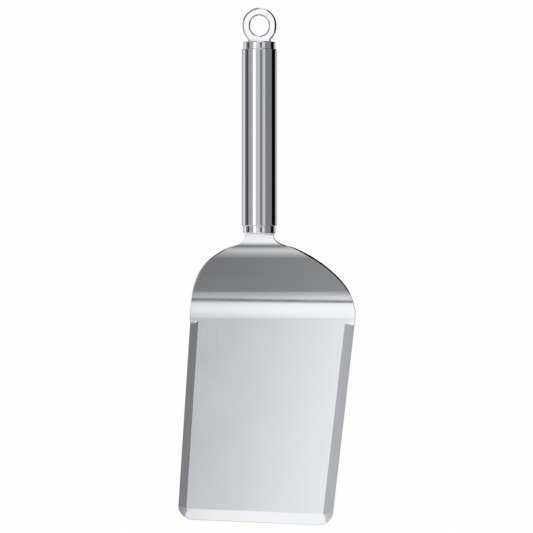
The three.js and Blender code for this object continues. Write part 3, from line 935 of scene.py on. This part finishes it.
# Cards round the hanging eye: a white one over it and a wall of grey, dark, pale and black ones round
# it, which give its rounded rims a light and a dark side. Places are counted from the eye's middle.
EYE_CARD_HEIGHT = 0.040
EYE_WHITE = 1.2
EYE_WHITE_SIDES = (-0.016, 0.016)
EYE_WHITE_RUN = (-0.005, 0.0206)
EYE_WALLS = [
    ("left", 0.50, (-0.017, -0.005), (-0.017, 0.006), (-0.040, 0.039)),
    ("upper_left", 0.20, (-0.017, 0.006), (-0.001, 0.022), (-0.040, 0.014)),
    ("upper_right", 0.80, (-0.001, 0.022), (0.009, 0.019), (-0.040, 0.014)),
    ("right_end", 0.02, (0.009, 0.019), (0.017, 0.009), (-0.040, 0.014)),
    ("right", 0.02, (0.017, 0.009), (0.017, -0.005), (-0.040, 0.039)),
    ("lower_right", 0.02, (0.0115, -0.003), (0.0086, -0.0092), (-0.012, 0.002)),
]

eye_white_corners = level_corners(EYE_WHITE_SIDES, EYE_WHITE_RUN, EYE_CARD_HEIGHT)
add_card("eye_white_card", [eye_place @ corner for corner in eye_white_corners], grey(EYE_WHITE))
for wall, level, wall_start, wall_end, (foot, top) in EYE_WALLS:
    wall_corners = [(*wall_start, foot), (*wall_end, foot), (*wall_end, top), (*wall_start, top)]
    add_card(f"eye_{wall}_card", [eye_place @ Vector(corner) for corner in wall_corners], grey(level))

# Cards round the neck: white ones beside and under its left edge, the lower one fading outwards, and
# black ones beside and under its right edge. They draw its outline. Places are counted from the
# handle's middle.
NECK_CARD_RUN = (-0.0612, -0.0546)
LOWER_LEFT_LEVELS = [(-0.024, 0.30), (-0.012, 1.15), (-0.008, 1.15)]
NECK_CARDS = [
    ("left", grey(1.15), (-0.015, 0), (-0.015, 0.045)),
    ("right", grey(0), (0.015, 0), (0.015, 0.045)),
    ("lower_left", faded_across(LOWER_LEFT_LEVELS), (-0.024, -0.004), (-0.008, -0.004)),
    ("lower_right", grey(0), (0.008, -0.004), (0.016, -0.004)),
]

neck_near, neck_far = NECK_CARD_RUN
for side, shown, (x, z), (far_x, far_z) in NECK_CARDS:
    neck_corners = [(x, neck_near, z), (far_x, neck_near, far_z), (far_x, neck_far, far_z), (x, neck_far, z)]
    add_card(f"neck_{side}_card", [handle_place(0) @ Vector(corner) for corner in neck_corners], shown)

# Card over the upper bend: it stands in front of the bend, across the blade, and draws the light and
# dark rows there. Each row is given by how steeply the sheet climbs where it shows.
BEND_CARD_DISTANCE = 0.0145
BEND_CARD_TURN = math.radians(52)
BEND_CARD_HALF_WIDTH = 0.060
BEND_CARD_TOP = -0.0104
BEND_CARD_FOOT = 0.012
BEND_CARD_SIDE_LEVELS = (0.75, 1.28)
BEND_LEVELS = [
    (16.4, 1.09), (18.4, 1.05), (20.3, 0.94), (22.2, 0.77), (24.1, 0.50), (26.1, 0.25), (28.1, 0.24),
    (30, 0.40), (32.1, 0.59), (34.1, 0.65), (36.2, 0.67), (38.3, 0.63), (40.4, 0.57), (42.6, 0.52),
    (44.8, 0.45), (47.1, 0.40), (49.5, 0.35), (51.9, 0.31), (54, 0.28),
]


def square_to(climb):
    """The direction square to a surface that climbs at an angle."""
    return Vector((0, -math.sin(climb), math.cos(climb)))


bend_y, bend_z, bend_climb = sheet_place(upper_start)
bend_centre = Vector((0, bend_y, bend_z)) - square_to(bend_climb) * UPPER_BEND_RADIUS
bend_surface = UPPER_BEND_RADIUS + SHEET_THICKNESS / 2
card_facing = square_to(BEND_CARD_TURN)
card_along = Vector((0, -card_facing.z, card_facing.y))
bend_spot = bend_centre + square_to((BEND_CARD_TURN + handle_rise) / 2) * bend_surface
card_middle = bend_spot + card_facing * BEND_CARD_DISTANCE


def seen_on_card(climb):
    """The place down the card that the bend reflects to the camera where it climbs at an angle."""
    ray_start = bend_centre + square_to(climb) * bend_surface
    ray_way = square_to(2 * climb - handle_rise)
    reach = (card_middle - ray_start).dot(card_facing) / ray_way.dot(card_facing)
    return (ray_start + ray_way * reach - card_middle).dot(card_along)


def bend_colour(tree):
    """Rows by the place down the card, brighter towards its right side."""
    place = node(tree, "ShaderNodeTexCoord").outputs["Object"]
    moved = node(tree, "ShaderNodeVectorMath", {0: place, 1: card_middle}, operation="SUBTRACT")
    moved_place = moved.outputs["Vector"]
    down = node(tree, "ShaderNodeVectorMath", {0: moved_place, 1: card_along}, operation="DOT_PRODUCT")
    levels = [(seen_on_card(math.radians(climb)), level) for climb, level in BEND_LEVELS]
    rows_light = banded(tree, down.outputs["Value"], levels)
    half = BEND_CARD_HALF_WIDTH
    side_light = remapped(tree, sideways(tree, place), -half, half, *BEND_CARD_SIDE_LEVELS)
    return calculated(tree, "MULTIPLY", rows_light, side_light)


bend_card_corners = [
    card_middle + card_along * down + Vector((side * BEND_CARD_HALF_WIDTH, 0, 0))
    for down, side in ((BEND_CARD_TOP, -1), (BEND_CARD_TOP, 1), (BEND_CARD_FOOT, 1), (BEND_CARD_FOOT, -1))
]
add_card("bend_card", bend_card_corners, bend_colour)
